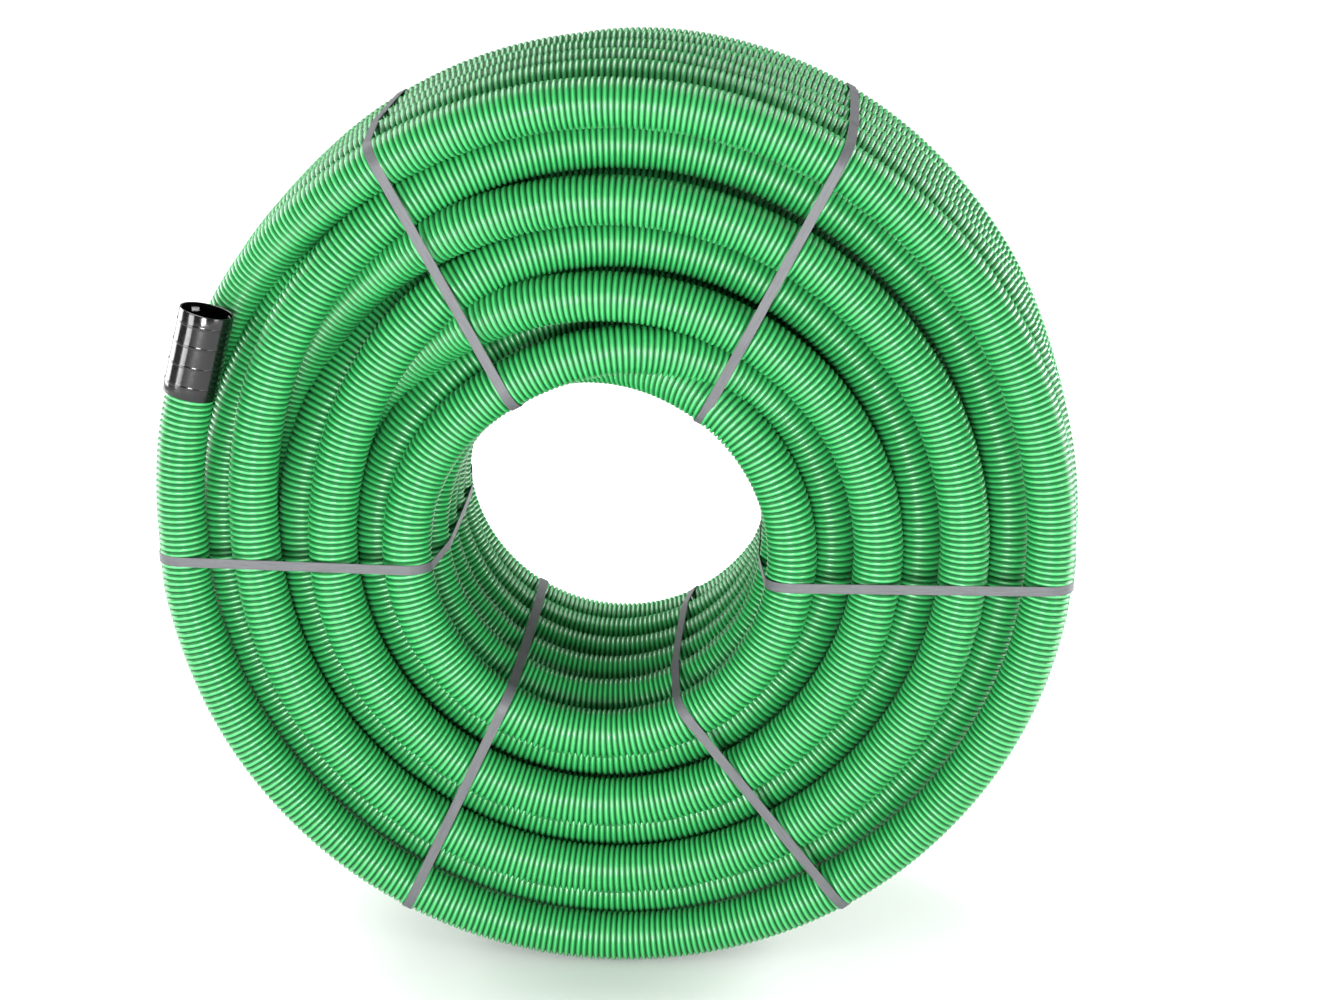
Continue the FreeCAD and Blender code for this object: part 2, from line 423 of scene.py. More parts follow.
@dataclass
class Winding:
    """Where the duct runs in the coil, from the free end at the rim to the end in the bore.

    A turn keeps its layer and row except in its steps, which take it to the
    next turn's.  Even layers lie in the hollows of the odd ones, half a row on.
    The duct stays round where turns cross, so they press into each other there.
    """
    duct_r: float = 20.0 * MM
    crown_out: float = 5.8 * MM
    crown_in: float = 6.9 * MM
    inner_turn_r: float = 154.4 * MM
    bore_shift: tuple[float, float] = (-12.0 * MM, -14.9 * MM)
    middle_row: float = 2.5
    end_spread: float = 0.05
    long_jump: float = 0.9
    sag_from_rim: float = 3.4 * MM
    sag_from_bore: float = 6.8 * MM
    first_angle: float = 190.0
    last_angle: float = 75.0
    points_per_turn: int = 24
    wobble: float = 0.6 * MM
    wobble_rate: float = 2.37
    wobble_shift: float = 1.3

    def __post_init__(self) -> None:
        """Read the coil's size from the CAD model and list the turns."""
        low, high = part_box("hose_coil")
        self.crown_r = (high.x - low.x) / 2
        self.axis_z = high.z - self.crown_r
        self.half_rows = (high.y - low.y) / 2 - self.duct_r
        self.outer_turn_r = self.crown_r - self.duct_r - self.crown_out
        self.turns = sum(len(layer.rows) for layer in LAYERS)
        self.top_layer = LAYERS[0].number
        self.steps = self.plan_steps()

    def plan_steps(self) -> list[Step]:
        """List every step of the winding, in order from the free end.

        Returns:
            Steps whose angles are counted on from turn to turn.
        """
        steps = []
        turn = 0
        row = LAYERS[0].rows[0]
        for layer in LAYERS:
            for place, next_row in enumerate(layer.rows):
                start = 360.0 * turn
                turn += 1
                if turn == 1:
                    continue
                jump = next_row - row
                row = next_row
                if place == 0:
                    steps.append(Step(start + layer.across[0], layer.across[1], rows=jump))
                    steps.append(Step(start + layer.inward[0], layer.inward[1], layers=-1.0))
                    continue
                middle = layer.other
                if place == 1:
                    middle = layer.first
                elif place == len(layer.rows) - 1:
                    middle = layer.last
                wide = layer.half * (1 + self.long_jump * (abs(jump) - 1))
                steps.append(Step(start + middle, wide, rows=jump))
        return steps

    def place(self, angle: float) -> tuple[float, float]:
        """Layer and row at an angle, counted on from turn to turn."""
        return (self.top_layer + sum(s.layers * s.done(angle) for s in self.steps),
                LAYERS[0].rows[0] + sum(s.rows * s.done(angle) for s in self.steps))

    def point(self, angle: float, stretch: float = 1.0) -> np.ndarray:
        """Point of the duct's centreline.

        Args:
            angle: degrees round the coil, counted on from turn to turn.
            stretch: factor on the radius, above 1 for a control point.

        Returns:
            The point, in metres.
        """
        layer, row = self.place(angle)
        across = (row - self.middle_row) / self.middle_row
        spread = (1 + self.end_spread * across ** 4) / (1 + self.end_spread)
        y = self.half_rows * across * spread
        share = (layer - 1) / (self.top_layer - 1)
        crown = (self.crown_out + self.crown_in) * share - self.crown_in
        up = max(0.0, sin(radians(angle)))
        sag = min((self.top_layer - layer) * self.sag_from_rim,
                  (layer - 1) * self.sag_from_bore) * up ** 2
        waver = self.wobble * sin(radians(angle) * self.wobble_rate + self.wobble_shift * layer)
        radius = self.inner_turn_r + (self.outer_turn_r - self.inner_turn_r) * share
        radius = (radius + crown * (1 - across ** 4) - sag + waver * (1 - share)) * stretch
        a = radians(angle)
        x = self.bore_shift[0] * (1 - share) + radius * cos(a)
        z = self.axis_z + self.bore_shift[1] * (1 - share) + radius * sin(a)
        return np.array((x, y + waver * (1 - abs(across)), max(z, self.duct_r)))

    def control_points(self) -> list[np.ndarray]:
        """Work out the control points of all the turns.

        Returns:
            The points, from the end in the bore to the rim.
        """
        step = 360.0 / self.points_per_turn
        stretch = 1 / cos(radians(step / 2))
        last = 360.0 * self.turns + self.last_angle
        count = int((last - self.first_angle) / step)
        angles = [self.first_angle + step * i for i in range(count + 1)]
        return [self.point(a, stretch) for a in reversed(angles)]


@dataclass
class Route:
    """The duct's centreline: one NURBS spline, and the points read from it."""
    winding: Winding
    tail: tuple = (
        (-347.27, -136.5, 354.74),
        (-348.84, -136.5, 390.70),
        (-347.00, -136.5, 426.90),
        (-342.44, -136.5, 462.09),
        (-329.45, -136.5, 514.20),
    )
    fineness: int = 24
    free_angle: float = 160.0
    bore_reach: float = 100.0 * MM
    points: np.ndarray = field(init=False)

    def __post_init__(self) -> None:
        """Make the spline and read its points."""
        controls = self.winding.control_points()
        controls += [np.array(p) * MM for p in self.tail]
        data = bpy.data.curves.new("duct_route", "CURVE")
        data.dimensions = "3D"
        data.resolution_u = self.fineness
        spline = data.splines.new("NURBS")
        spline.points.add(len(controls) - 1)
        for target, source in zip(spline.points, controls):
            target.co = (*source, 1.0)
        spline.order_u = 3
        spline.use_endpoint_u = True
        bare = bpy.data.objects.new("duct_route", data)
        mesh = bpy.data.meshes.new_from_object(bare)
        self.points = np.array([v.co for v in mesh.vertices], float)[::-1]
        bpy.data.meshes.remove(mesh)
        bpy.data.objects.remove(bare)
        bpy.data.curves.remove(data)
        self.along = lengths(self.points)
        flat = self.points - np.array((0.0, 0.0, self.winding.axis_z))
        self.angle = np.degrees(np.unwrap(np.arctan2(flat[:, 2], flat[:, 0])))
        self.angle -= 360.0 * round((self.angle[0] - self.free_angle) / 360.0)

    @property
    def length(self) -> float:
        """Length of the whole duct."""
        return float(self.along[-1])

    def distance_at(self, angle: float) -> float:
        """Distance from the free end at which the duct reaches an angle."""
        return float(np.interp(angle, self.angle, self.along))

    def at(self, distances: np.ndarray) -> np.ndarray:
        """Points at these distances from the free end."""
        return np.stack([np.interp(distances, self.along, self.points[:, k])
                         for k in range(3)], axis=1)

    def crossings(self, inner: np.ndarray, out: np.ndarray) -> np.ndarray:
        """Where the duct crosses a half-plane that holds the Y axis.

        Args:
            inner: point of the half-plane near the bore.
            out: unit vector in the plane, across the coil's face.

        Returns:
            One row for each crossing: distance along out, and Y.
        """
        side = np.cross(out, Y_AXIS)
        off = (self.points - inner) @ side
        reach = (self.points - inner) @ out
        near = reach[:-1] > -self.bore_reach
        hit = np.nonzero((off[:-1] * off[1:] <= 0) & near)[0]
        share = off[hit] / (off[hit] - off[hit + 1])
        spot = self.points[hit] + (self.points[hit + 1] - self.points[hit]) * share[:, None]
        return np.stack(((spot - inner) @ out, spot[:, 1]), axis=1)


@dataclass
class DuctLiner:
    """Smooth inner wall of the duct."""
    route: Route
    outer_r: float = 16.6 * MM
    inner_r: float = 16.0 * MM
    sides: int = 12
    ring_gap: float = 20.0 * MM

    def build(self, finish: Material) -> Object:
        """Build the tube with its wall thickness and cut ends.

        Args:
            finish: material of the wall.

        Returns:
            The tube.
        """
        count = int(self.route.length / self.ring_gap)
        self.path = self.route.at(np.linspace(0, self.route.length, count + 1))
        tangent = unit(np.gradient(self.path, axis=0))
        first = unit(np.cross(Y_AXIS, tangent))
        second = np.cross(tangent, first)
        turn = np.arange(self.sides) * 2 * pi / self.sides
        ring = (first[:, None] * np.cos(turn)[None, :, None]
                + second[:, None] * np.sin(turn)[None, :, None])
        outer = (self.path[:, None] + ring * self.outer_r).reshape(-1, 3)
        inner = (self.path[:, None] + ring * self.inner_r).reshape(-1, 3)
        shift = len(outer)
        faces = []
        for k in range(count):
            for i in range(self.sides):
                a = k * self.sides + i
                b = k * self.sides + (i + 1) % self.sides
                c, d = b + self.sides, a + self.sides
                faces.append((a, b, c, d))
                faces.append((a + shift, d + shift, c + shift, b + shift))
        for i in range(self.sides):
            j = (i + 1) % self.sides
            end = count * self.sides
            faces.append((j, i, i + shift, j + shift))
            faces.append((i + end, j + end, j + end + shift, i + end + shift))
        piece = mesh_object("duct_liner", np.concatenate((outer, inner)), faces)
        piece.data.materials.append(finish)
        return piece


@dataclass
class CorrugatedWall:
    """Corrugated outer wall of the duct, made in stretches that meet in a groove.

    Each stretch is given by the turn that it ends at, and by its detail.
    """
    route: Route
    rib_pitch: float = 4.75 * MM
    crest_r: float = 20.0 * MM
    shoulder_r: float = 19.35 * MM
    valley_r: float = 17.1 * MM
    shoulder_shift: float = 0.045
    bore_r: float = 16.75 * MM
    bore_step: float = 24.0 * MM
    joint_angle: float = 225.0
    end_step: float = 0.2 * MM
    weld_gap: float = 0.3 * MM
    # painted shade mask for the material, by ring: valley, shoulder, crest, shoulder
    groove_shade_shares: tuple = (1.0, 0.6, 0.0, 0.6)
    stretches: tuple = (
        (2, Detail.SEEN), (4, Detail.SEEN), (6, Detail.SEEN), (7, Detail.SEEN),
        (9, Detail.BETWEEN), (11, Detail.SEEN), (12, Detail.SEEN), (14, Detail.BURIED),
        (16, Detail.SEEN), (18, Detail.SEEN), (20, Detail.SEEN), (21, Detail.BURIED),
        (23, Detail.SEEN), (25, Detail.BETWEEN), (28, Detail.SEEN), (33, Detail.SEEN),
    )

    def wall_tree(self, sizes: dict) -> NodeTree:
        """Node tree that turns a centreline into a corrugated wall with a smooth back.

        Args:
            sizes: value of each number that the tree takes, by name.

        Returns:
            The tree, with named inputs for the sizes and the material.
        """
        tree = bpy.data.node_groups.new("corrugated_wall", "GeometryNodeTree")
        face = tree.interface
        face.new_socket("Geometry", in_out="INPUT", socket_type="NodeSocketGeometry")
        for name in sizes:
            face.new_socket(name, in_out="INPUT", socket_type="NodeSocketFloat")
        face.new_socket("Sides", in_out="INPUT", socket_type="NodeSocketInt")
        face.new_socket("Material", in_out="INPUT", socket_type="NodeSocketMaterial")
        face.new_socket("Geometry", in_out="OUTPUT", socket_type="NodeSocketGeometry")
        given = add(tree, "NodeGroupInput").outputs
        centre = given["Geometry"]
        length = add(tree, "GeometryNodeCurveLength", None, {"Curve": centre}).outputs["Length"]
        index = add(tree, "GeometryNodeInputIndex").outputs["Index"]

        def maths(operation: str, a: object, b: object) -> NodeSocket:
            """One sum on numbers."""
            return add(tree, "ShaderNodeMath", {"operation": operation}, {0: a, 1: b}).outputs["Value"]

        def by_step(values: tuple) -> NodeSocket:
            """Pick one of four values by a ring's place on its rib.

            Args:
                values: number or socket for the valley, shoulder, crest and shoulder.

            Returns:
                Socket of the picked value.
            """
            switch = add(tree, "GeometryNodeIndexSwitch", {"data_type": "FLOAT"})
            for _ in range(2):
                switch.index_switch_items.new()
            step = add(tree, "FunctionNodeIntegerMath", {"operation": "MODULO"}, {
                0: index, 1: 4}).outputs["Value"]
            for value, socket in zip((step, *values), switch.inputs):
                give(tree, value, socket)
            return switch.outputs[0]

        def squared_up(curve: NodeSocket) -> NodeSocket:
            """Give a curve normals that stay square to it and near the coil's axis.

            Args:
                curve: socket of the curve.

            Returns:
                Socket of the curve with its new normals.
            """
            tangent = add(tree, "GeometryNodeInputTangent").outputs["Tangent"]
            across = add(tree, "ShaderNodeVectorMath", {"operation": "CROSS_PRODUCT"}, {
                0: tuple(Y_AXIS), 1: tangent}).outputs["Vector"]
            normal = add(tree, "ShaderNodeVectorMath", {"operation": "CROSS_PRODUCT"}, {
                0: tangent, 1: across}).outputs["Vector"]
            return add(tree, "GeometryNodeSetCurveNormal", {"mode": "FREE"}, {
                "Curve": curve, "Normal": normal}).outputs["Curve"]

        ring = add(tree, "GeometryNodeCurvePrimitiveCircle", None, {
            "Resolution": given["Sides"], "Radius": 1.0}).outputs["Curve"]

        ribs = maths("ROUND", maths("DIVIDE", length, given["Rib Pitch"]), 0.0)
        count = maths("MULTIPLY_ADD", ribs, 4.0)
        count.node.inputs[2].default_value = 1.0
        ribbed = add(tree, "GeometryNodeResampleCurve", None, {
            "Curve": centre, "Count": count}).outputs["Curve"]
        ribbed = squared_up(ribbed)
        shift = maths("MULTIPLY", given["Shoulder Shift"], given["Rib Pitch"])
        back = maths("MULTIPLY", shift, -1.0)
        tangent = add(tree, "GeometryNodeInputTangent").outputs["Tangent"]
        nudge = add(tree, "ShaderNodeVectorMath", {"operation": "SCALE"}, {
            0: tangent, "Scale": by_step((0.0, back, 0.0, shift))}).outputs["Vector"]
        ribbed = add(tree, "GeometryNodeSetPosition", None, {
            "Geometry": ribbed, "Offset": nudge}).outputs["Geometry"]
        # store the painted shade mask that darkens the grooves in the material
        ribbed = add(tree, "GeometryNodeStoreNamedAttribute",
                     {"data_type": "FLOAT", "domain": "POINT"},
                     {"Geometry": ribbed, "Name": "groove",
                      "Value": by_step(self.groove_shade_shares)}).outputs["Geometry"]
        radius = by_step((given["Valley Radius"], given["Shoulder Radius"],
                          given["Crest Radius"], given["Shoulder Radius"]))
        outside = add(tree, "GeometryNodeCurveToMesh", None, {
            "Curve": ribbed, "Profile Curve": ring, "Scale": radius}).outputs["Mesh"]

        steps = maths("CEIL", maths("DIVIDE", length, given["Bore Step"]), 0.0)
        last = maths("ADD", steps, 2.0)
        smooth = add(tree, "GeometryNodeResampleCurve", None, {
            "Curve": centre, "Count": maths("ADD", last, 1.0)}).outputs["Curve"]
        even = maths("MULTIPLY", maths("DIVIDE", maths("SUBTRACT", index, 1.0), steps), length)
        inside = maths("MINIMUM", maths("MAXIMUM", even, self.end_step),
                       maths("SUBTRACT", length, self.end_step))
        is_first = maths("LESS_THAN", index, 0.5)
        is_last = maths("GREATER_THAN", index, maths("SUBTRACT", last, 0.5))
        is_end = maths("ADD", is_first, is_last)
        at = add(tree, "GeometryNodeSwitch", {"input_type": "FLOAT"}, {
            "Switch": is_end, "False": inside, "True": maths("MULTIPLY", is_last,
            length)}).outputs["Output"]
        spot = add(tree, "GeometryNodeSampleCurve", {"mode": "LENGTH", "use_all_curves": True}, {
            "Curves": centre, "Length": at}).outputs["Position"]
        smooth = add(tree, "GeometryNodeSetPosition", None, {
            "Geometry": smooth, "Position": spot}).outputs["Geometry"]
        smooth = squared_up(smooth)
        bore = add(tree, "GeometryNodeSwitch", {"input_type": "FLOAT"}, {
            "Switch": is_end, "False": given["Bore Radius"],
            "True": given["Valley Radius"]}).outputs["Output"]
        lining = add(tree, "GeometryNodeCurveToMesh", None, {
            "Curve": smooth, "Profile Curve": ring, "Scale": bore}).outputs["Mesh"]
        lining = add(tree, "GeometryNodeFlipFaces", None, {"Mesh": lining}).outputs["Mesh"]

        both = add(tree, "GeometryNodeJoinGeometry")
        tree.links.new(lining, both.inputs[0])
        tree.links.new(outside, both.inputs[0])
        shape = both.outputs[0]
        for kind, values in (("GeometryNodeMergeByDistance", {"Distance": self.weld_gap}),
                             ("GeometryNodeSetShadeSmooth", {"Shade Smooth": True}),
                             ("GeometryNodeRealizeInstances", {}),
                             ("GeometryNodeSetMaterial", {"Material": given["Material"]})):
            shape = add(tree, kind, None, {"Geometry": shape, **values}).outputs["Geometry"]
        add(tree, "NodeGroupOutput", None, {"Geometry": shape})
        return tree

    def build(self, finish: Material) -> list[Object]:
        """Build every stretch of the wall.

        Args:
            finish: material of the wall.

        Returns:
            The stretches, from the free end on.
        """
        sizes = {
            "Rib Pitch": self.rib_pitch,
            "Crest Radius": self.crest_r,
            "Shoulder Radius": self.shoulder_r,
            "Valley Radius": self.valley_r,
            "Shoulder Shift": self.shoulder_shift,
            "Bore Radius": self.bore_r,
            "Bore Step": self.bore_step,
        }
        tree = self.wall_tree(sizes)
        sizes["Material"] = finish
        winding = self.route.winding
        pieces = []
        first = 0
        for number, (last, detail) in enumerate(self.stretches, 1):
            start = 0.0 if first == 0 else self.boundary(first)
            end = self.route.length if last == winding.turns else self.boundary(last)
            end = start + round((end - start) / self.rib_pitch) * self.rib_pitch
            end = min(end, self.route.length)
            sizes["Sides"] = detail.value
            pieces.append(self.stretch("duct_wall_%02d" % number, start, end, tree, sizes))
            first = last
        return pieces

    def boundary(self, turn: int) -> float:
        """Distance along the duct, at a groove, of the joint before a turn."""
        angle = 360.0 * turn + self.joint_angle
        return round(self.route.distance_at(angle) / self.rib_pitch) * self.rib_pitch

    def stretch(self, name: str, start: float, end: float, tree: NodeTree, sizes: dict) -> Object:
        """Build one stretch.

        Args:
            name: name of the piece.
            start: distance along the duct where it begins.
            end: distance where it ends.
            tree: node tree of the wall.
            sizes: value of each of the tree's named inputs.

        Returns:
            The stretch, as a plain mesh.
        """
        along = self.route.along
        spare = self.end_step / 2
        inner = along[(along > start + spare) & (along < end - spare)]
        points = self.route.at(np.concatenate(([start], inner, [end])))
        data = bpy.data.curves.new(name + "_line", "CURVE")
        data.dimensions = "3D"
        spline = data.splines.new("POLY")
        spline.points.add(len(points) - 1)
        spline.points.foreach_set("co", np.c_[points, np.ones(len(points))].ravel())
        line = new_object(name + "_line", data)
        nodes = line.modifiers.new("wall", "NODES")
        nodes.node_group = tree
        for item in tree.interface.items_tree:
            if item.in_out == "INPUT" and item.name in sizes:
                nodes[item.identifier] = sizes[item.name]
        graph = bpy.context.evaluated_depsgraph_get()
        mesh = bpy.data.meshes.new_from_object(line.evaluated_get(graph))
        mesh.name = name
        bpy.data.objects.remove(line)
        bpy.data.curves.remove(data)
        log.info("%s: %.2f m, %d faces", name, end - start, len(mesh.polygons))
        return new_object(name, mesh)


# ---- the straps ----

@dataclass
class Strapping:
    """Six straps, each one tight loop round the coil's section, welded at the rim."""
    route: Route
    width: float = 8.0 * MM
    thickness: float = 0.7 * MM
    lap: float = 34.0 * MM
    lap_from: float = 26.0 * MM
    outer_angles: tuple = (183.7, 121.3, 59.9, -5.7, -59.1, -118.4)
    inner_angles: tuple = (184.2, 118.2, 55.1, -7.7, -61.3, -121.1)
    arc_points: int = 48
    rim_reach: float = 30.0 * MM
    point_gap: float = 3.0 * MM
    ramp: float = 6.0 * MM
    edge_share: float = 0.35

    def loop(self, crossings: np.ndarray, gap: float) -> np.ndarray:
        """Tight loop round the duct's sections in the strap's plane.

        Args:
            crossings: centre of each section.
            gap: radius of the loop round each centre.

        Returns:
            Points of the convex outline, in order.
        """
        turn = np.arange(self.arc_points) * 2 * pi / self.arc_points
        circle = np.stack((np.cos(turn), np.sin(turn)), axis=1) * gap
        cloud = (crossings[:, None] + circle[None]).reshape(-1, 2)
        cloud = cloud[np.lexsort((cloud[:, 1], cloud[:, 0]))]
        sides = []
        for points in (cloud, cloud[::-1]):
            chain: list = []
            for p in points:
                while len(chain) > 1 and self.turns_right(chain[-2], chain[-1], p):
                    chain.pop()
                chain.append(p)
            sides += chain[:-1]
        return np.array(sides)

    @staticmethod
    def turns_right(a: np.ndarray, b: np.ndarray, c: np.ndarray) -> bool:
        """True if the way a, b, c doesn't turn left."""
        return (b[0] - a[0]) * (c[1] - a[1]) - (b[1] - a[1]) * (c[0] - a[0]) <= 1e-12

    def plane(self, number: int) -> tuple[np.ndarray, np.ndarray]:
        """Find the half-plane that a strap lies in.

        Args:
            number: the strap's number, from 1.

        Returns:
            Its point near the bore, and its unit vector across the coil's face.
        """
        winding = self.route.winding
        ends = []
        for angles, r, shift in ((self.inner_angles, winding.inner_turn_r, winding.bore_shift),
                                 (self.outer_angles, winding.outer_turn_r, (0.0, 0.0))):
            a = radians(angles[number - 1])
            ends.append(np.array((shift[0] + r * cos(a), 0.0,
                                  winding.axis_z + shift[1] + r * sin(a))))
        inner, outer = ends
        return inner, unit(outer - inner)

    def lapped(self, outline: np.ndarray) -> tuple[np.ndarray, np.ndarray, np.ndarray]:
        """Run a strap once round its outline, and on over its own start.

        Args:
            outline: points of the loop, in order.

        Returns:
            Distances along the strap, points of its path, and ways outwards.
        """
        far = outline[:, 0] > outline[:, 0].max() - self.rim_reach
        weld_y = self.lap_from - self.route.winding.half_rows + self.lap
        start = min(np.nonzero(far)[0], key=lambda i: abs(outline[i, 1] - weld_y))
        outline = np.roll(outline, -start, axis=0)
        outline = np.concatenate((outline, outline[:1]))
        along = lengths(outline)
        total = along[-1]
        count = int((total + self.lap) / self.point_gap)
        run = np.linspace(0, total + self.lap, count + 1)
        path = np.stack([np.interp(run % total, along, outline[:, k]) for k in range(2)], axis=1)
        way = unit(np.gradient(path, axis=0))
        outward = np.stack((way[:, 1], -way[:, 0]), axis=1)
        lift = np.array([ease((s - total + self.ramp) / self.ramp) for s in run])
        return run, path + outward * (lift * self.thickness)[:, None], outward

    def build_one(self, number: int, finish: Material) -> Object:
        """Build one strap.

        Args:
            number: the strap's number, from 1.
            finish: its material.

        Returns:
            The strap.
        """
        inner, out = self.plane(number)
        side = np.cross(out, Y_AXIS)
        outline = self.loop(self.route.crossings(inner, out), self.route.winding.duct_r)
        run, path, outward = self.lapped(outline)
        half, top = self.width / 2, self.thickness
        edge = top * self.edge_share
        profile = ((-half + edge, 0.0), (half - edge, 0.0), (half, edge), (half, top - edge),
                   (half - edge, top), (-half + edge, top), (-half, top - edge), (-half, edge))
        points = []
        for p, n in zip(path, outward):
            for across, height in profile:
                q = p + n * height
                points.append(inner + out * q[0] + Y_AXIS * q[1] + side * across)
        size = len(profile)
        count = len(run) - 1
        faces = []
        for k in range(count):
            for i in range(size):
                j = (i + 1) % size
                faces.append((k * size + i, k * size + j, (k + 1) * size + j, (k + 1) * size + i))
        faces.append(tuple(reversed(range(size))))
        faces.append(tuple(range(count * size, (count + 1) * size)))
        piece = mesh_object("strap_loop_%d" % number, np.array(points), faces)
        self.unwrap(piece, run, profile)
        piece.data.materials.append(finish)
        return piece

    def unwrap(self, piece: Object, run: np.ndarray, profile: tuple) -> None:
        """Give a strap a UV map in metres: along it, and across it.

        Args:
            piece: the strap.
            run: distance along it of each ring of vertices.
            profile: points of a ring: distance across, and height.
        """
        layer = piece.data.uv_layers.new(name="strap")
        size = len(profile)
        for loop in piece.data.loops:
            k, i = divmod(loop.vertex_index, size)
            layer.data[loop.index].uv = (run[k], profile[i][0] + self.width / 2)

    def build(self, finish: Material) -> list[Object]:
        """Build all the straps."""
        return [self.build_one(n, finish) for n in range(1, len(self.outer_angles) + 1)]


# ---- the coupler ----

@dataclass
class Coupler:
    """Push-on sleeve: stepped barrel with four raised lips, a stop ring and snap tabs."""
    length: float = 70.0 * MM
    bore_r: float = 20.3 * MM
    wall: float = 1.4 * MM
    lip_height: float = 0.5 * MM
    lip_width: float = 1.2 * MM
    lip_slope: float = 0.15 * MM
    lip_root: float = 0.1 * MM
    loop_gaps: tuple = (0.4 * MM, 0.9 * MM)
    rim: float = 0.5 * MM
    chamfer: float = 0.4 * MM
    lip_stations: tuple = (10.0 * MM, 26.6 * MM, 43.4 * MM, 60.0 * MM)
    stop_bore_r: float = 17.2 * MM
    stop_width: float = 2.0 * MM
    segments: int = 96
    tabs: int = 4
    tab_width: float = 7.0 * MM
    tab_height: float = 1.5 * MM
    tab_root: float = 0.4 * MM
    tab_span: tuple = (3.0 * MM, 7.0 * MM, 8.0 * MM)
    tab_turn: float = 0.4

    def __post_init__(self) -> None:
        """Read the sleeve's axis and mouth from the CAD model."""
        mount = next(m for m in frame["record"]["mounts"] if m["name"] == "coupler_socket")
        joint = next(j for j in frame["record"]["behaviour"]["joints"]
                     if j["name"] == "coupler_slide")
        self.axis = np.array(joint["axis"], float)
        self.middle = np.array(mount["pos_m"], float)
        self.mouth = self.middle + self.axis * mount["dims"]["length_mm"] / 2 * MM
        self.base = self.mouth - self.axis * self.length

    def profile(self) -> list[tuple[float, float]]:
        """Draw the closed outline of the wall, with extra points beside each lip.

        Returns:
            Distance along the axis, and radius, of each point.
        """
        bore, stop = self.bore_r, self.stop_bore_r
        outer = bore + self.wall
        top, foot = outer + self.lip_height, outer + self.lip_root
        near, far = self.loop_gaps
        rim, chamfer = self.rim, self.chamfer
        points = [(0.0, bore + rim), (rim * 0.3, outer - rim * 0.3), (rim, outer)]
        for station in self.lip_stations:
            a, b = station - self.lip_width / 2, station + self.lip_width / 2
            points += [(a - far, outer), (a - near, outer), (a, foot), (a + self.lip_slope, top),
                       (b - self.lip_slope, top), (b, foot), (b + near, outer), (b + far, outer)]
        points += [(self.length - rim, outer), (self.length - rim * 0.3, outer - rim * 0.3),
                   (self.length, bore + rim), (self.length - rim * 0.6, bore)]
        a = (self.length + self.stop_width) / 2
        b = (self.length - self.stop_width) / 2
        points += [(a + chamfer, bore), (a, bore - chamfer), (a, stop + chamfer),
                   (a - chamfer, stop), (b + chamfer, stop), (b, stop + chamfer),
                   (b, bore - chamfer), (b - chamfer, bore), (rim * 0.6, bore)]
        return points

    def add_tab(self, points: list, faces: list, first: np.ndarray, second: np.ndarray,
                middle: float) -> None:
        """Add one wedge-shaped snap tab inside the open half of the sleeve.

        Args:
            points: vertices of the sleeve so far, added to.
            faces: faces of the sleeve so far, added to.
            first: unit vector square to the axis.
            second: unit vector square to both.
            middle: angle of the tab's middle round the axis, in radians.
        """
        half = self.tab_width / 2 / self.bore_r
        wall_r = self.bore_r + self.tab_root
        low_r = self.bore_r - self.tab_height
        start, nose, end = (self.length - depth for depth in self.tab_span)
        wedge = ((start, wall_r), (end, wall_r), (end, low_r), (nose, low_r))
        base = len(points)
        for a in (middle - half, middle + half):
            spoke = first * cos(a) + second * sin(a)
            points += [self.base + self.axis * s + spoke * r for s, r in wedge]
        faces.append(tuple(base + i for i in (0, 1, 2, 3)))
        faces.append(tuple(base + i for i in (7, 6, 5, 4)))
        for i in range(4):
            j = (i + 1) % 4
            faces.append((base + j, base + i, base + 4 + i, base + 4 + j))

    def build(self, finish: Material) -> Object:
        """Build the sleeve.

        Args:
            finish: its material.

        Returns:
            The sleeve, in place on the duct's free end.
        """
        outline = self.profile()
        first = Y_AXIS
        second = np.cross(self.axis, first)
        points, faces = [], []
        for k in range(self.segments):
            a = 2 * pi * k / self.segments
            spoke = first * cos(a) + second * sin(a)
            points += [self.base + self.axis * s + spoke * r for s, r in outline]
        size = len(outline)
        for k in range(self.segments):
            n = (k + 1) % self.segments
            for i in range(size):
                j = (i + 1) % size
                faces.append((k * size + i, n * size + i, n * size + j, k * size + j))
        for k in range(self.tabs):
            middle = 2 * pi * (k + self.tab_turn) / self.tabs
            self.add_tab(points, faces, first, second, middle)
        piece = mesh_object("coupler_sleeve", np.array(points), faces, smooth_angle=35.0)
        piece.data.materials.append(finish)
        return piece


# ---- the studio ----

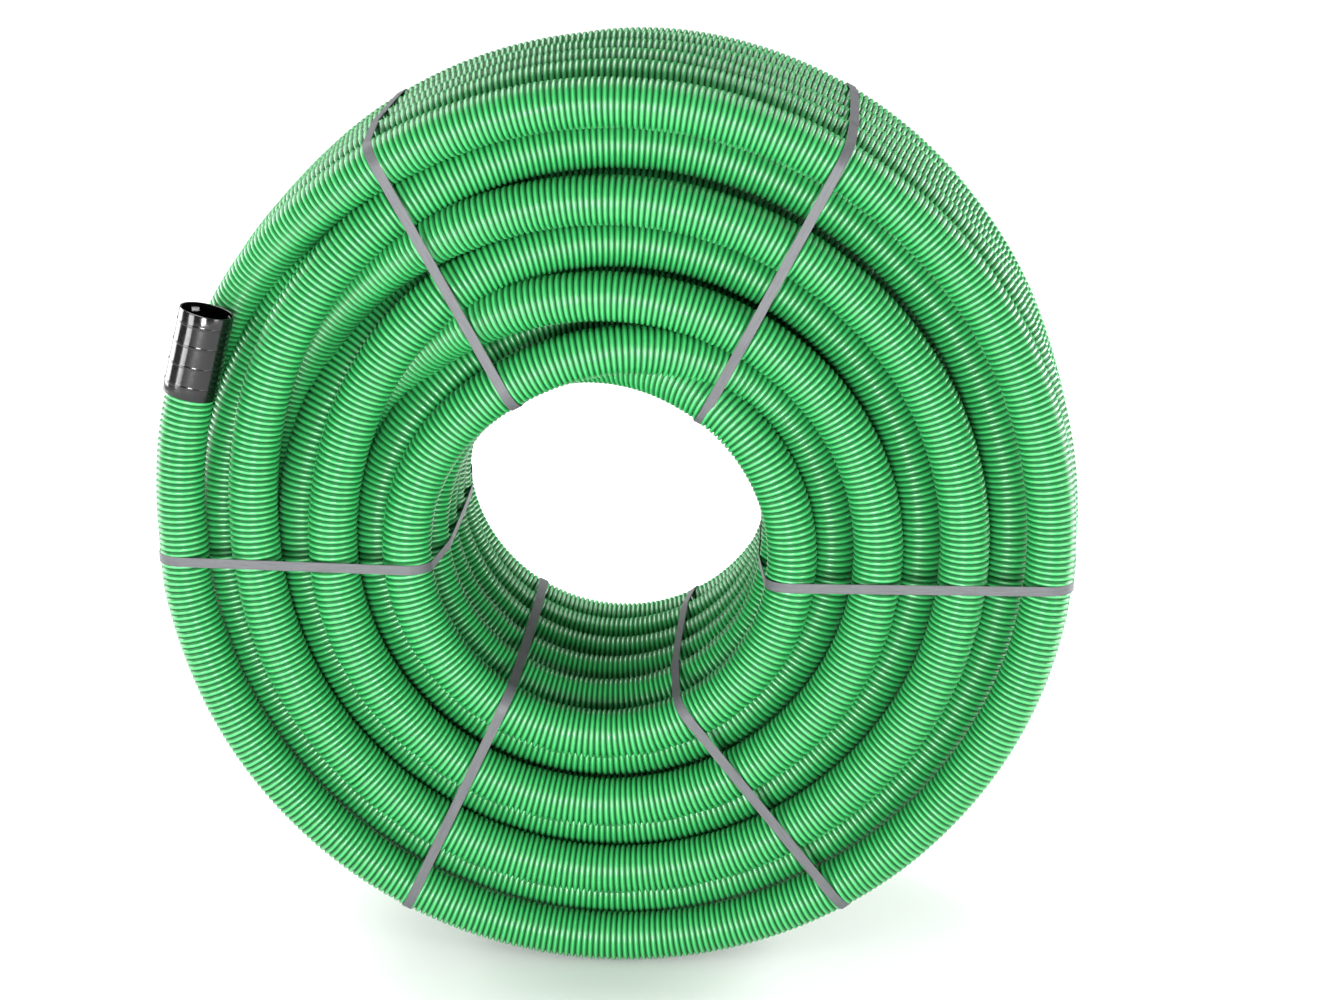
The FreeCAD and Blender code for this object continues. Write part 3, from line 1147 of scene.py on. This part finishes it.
@dataclass
class Studio:
    """Camera, floor and soft lights."""
    azimuth: float = 3.24
    elevation: float = 16.56
    distance: float = 2.52
    lens: float = 85.6
    sensor: float = 36.0
    aim_right: float = 41.9 * MM
    aim_up: float = 30.0 * MM
    floor_half: float = 8.0
    room_light: float = 0.28
    centre: tuple = (0.0, 0.0, 0.37)
    lamps: tuple = (
        ("key", (-0.1, -3.0, 0.45), 0.8, 118.0),
        ("front_left", (-2.4, -1.9, 0.7), 1.1, 62.0),
        ("front_right", (2.4, -1.9, 0.7), 1.1, 56.0),
        ("right", (2.2, 0.9, 0.9), 1.4, 105.0),
        ("left", (-2.2, 0.9, 0.9), 1.4, 70.0),
    )
    panel_light: float = 4.0
    panel_angle: float = 55.0
    panel_way: tuple = (0.5, -0.9, -1.6)

    def camera(self, winding: Winding) -> None:
        """Place the camera in front of the coil, a little above it.

        Args:
            winding: the winding that it looks at.
        """
        aim = Vector((self.aim_right, -winding.half_rows, winding.axis_z + self.aim_up))
        a, e = radians(self.azimuth), radians(self.elevation)
        back = Vector((sin(a) * cos(e), -cos(a) * cos(e), sin(e)))
        data = bpy.data.cameras.new("camera")
        data.lens = self.lens
        data.sensor_width = self.sensor
        made = self.aimed("camera", data, -back)
        made.location = aim + back * self.distance
        bpy.context.scene.camera = made

    @staticmethod
    def aimed(name: str, data: ID, way: Vector) -> Object:
        """Put a camera or a light in the scene and turn it.

        Args:
            name: its name.
            data: its data.
            way: direction that it looks in.

        Returns:
            Its object.
        """
        made = new_object(name, data)
        made.rotation_mode = "QUATERNION"
        made.rotation_quaternion = way.to_track_quat("-Z", "Y")
        return made

    def floor(self, finish: Material) -> None:
        """Lay the floor.

        Args:
            finish: its material.
        """
        h = self.floor_half
        made = mesh_object("floor", np.array(((-h, -h, 0), (h, -h, 0), (h, h, 0), (-h, h, 0))),
                           [(0, 1, 2, 3)])
        made.data.materials.append(finish)

    def lights(self) -> None:
        """Hang the square lamps, and one broad panel above and behind the coil."""
        for name, place, size, power in self.lamps:
            data = bpy.data.lights.new(name, "AREA")
            data.size = size
            data.energy = power
            self.aimed(name, data, Vector(self.centre) - Vector(place)).location = place
        panel = bpy.data.lights.new("sky_panel", "SUN")
        panel.energy = self.panel_light
        panel.angle = radians(self.panel_angle)
        self.aimed("sky_panel", panel, Vector(self.panel_way))

    def background(self) -> None:
        """Light the room evenly, and show it white to the camera."""
        world = bpy.data.worlds.new("studio")
        world.use_nodes = True
        tree = world.node_tree
        tree.nodes.clear()
        seen = add(tree, "ShaderNodeLightPath").outputs["Is Camera Ray"]
        white = linear("#FFFFFF")
        room, paper = (add(tree, "ShaderNodeBackground", None, {
            "Color": white, "Strength": power}).outputs["Background"] for power in (self.room_light,
            1.0))
        both = add(tree, "ShaderNodeMixShader", None, {0: seen, 1: room, 2: paper})
        add(tree, "ShaderNodeOutputWorld", None, {"Surface": both.outputs["Shader"]})
        bpy.context.scene.world = world
        bpy.context.scene.view_settings.view_transform = "Standard"


# ---- the whole object ----


def main() -> None:
    """Build every piece in order, and say which CAD body each rides on."""
    logging.basicConfig(level=logging.INFO, format="%(name)s: %(message)s")
    winding = Winding()
    studio = Studio()
    studio.camera(winding)
    route = Route(winding)
    log.info("duct of %d turns, %.2f m long", winding.turns, route.length)

    liner = DuctLiner(route)
    liner_piece = liner.build(PlainPolyethylene().material())
    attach(liner_piece, "coil")
    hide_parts("hose_coil", "hose_tail")

    walls = CorrugatedWall(route).build(ExtrudedPolyethylene().material())
    for piece in walls:
        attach(piece, "coil")

    sleeve = Coupler().build(MouldedPolypropylene().material())
    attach(sleeve, "sleeve")
    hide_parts("coupler")

    straps = Strapping(route).build(EmbossedStrapping().material())
    for number, piece in enumerate(straps, 1):
        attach(piece, "coil")
        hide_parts("strap_%d" % number)
        log.info("%s: %d faces", piece.name, len(piece.data.polygons))

    studio.floor(PaintedFloor().material())
    studio.lights()
    studio.background()


if __name__ == "__main__":
    main()
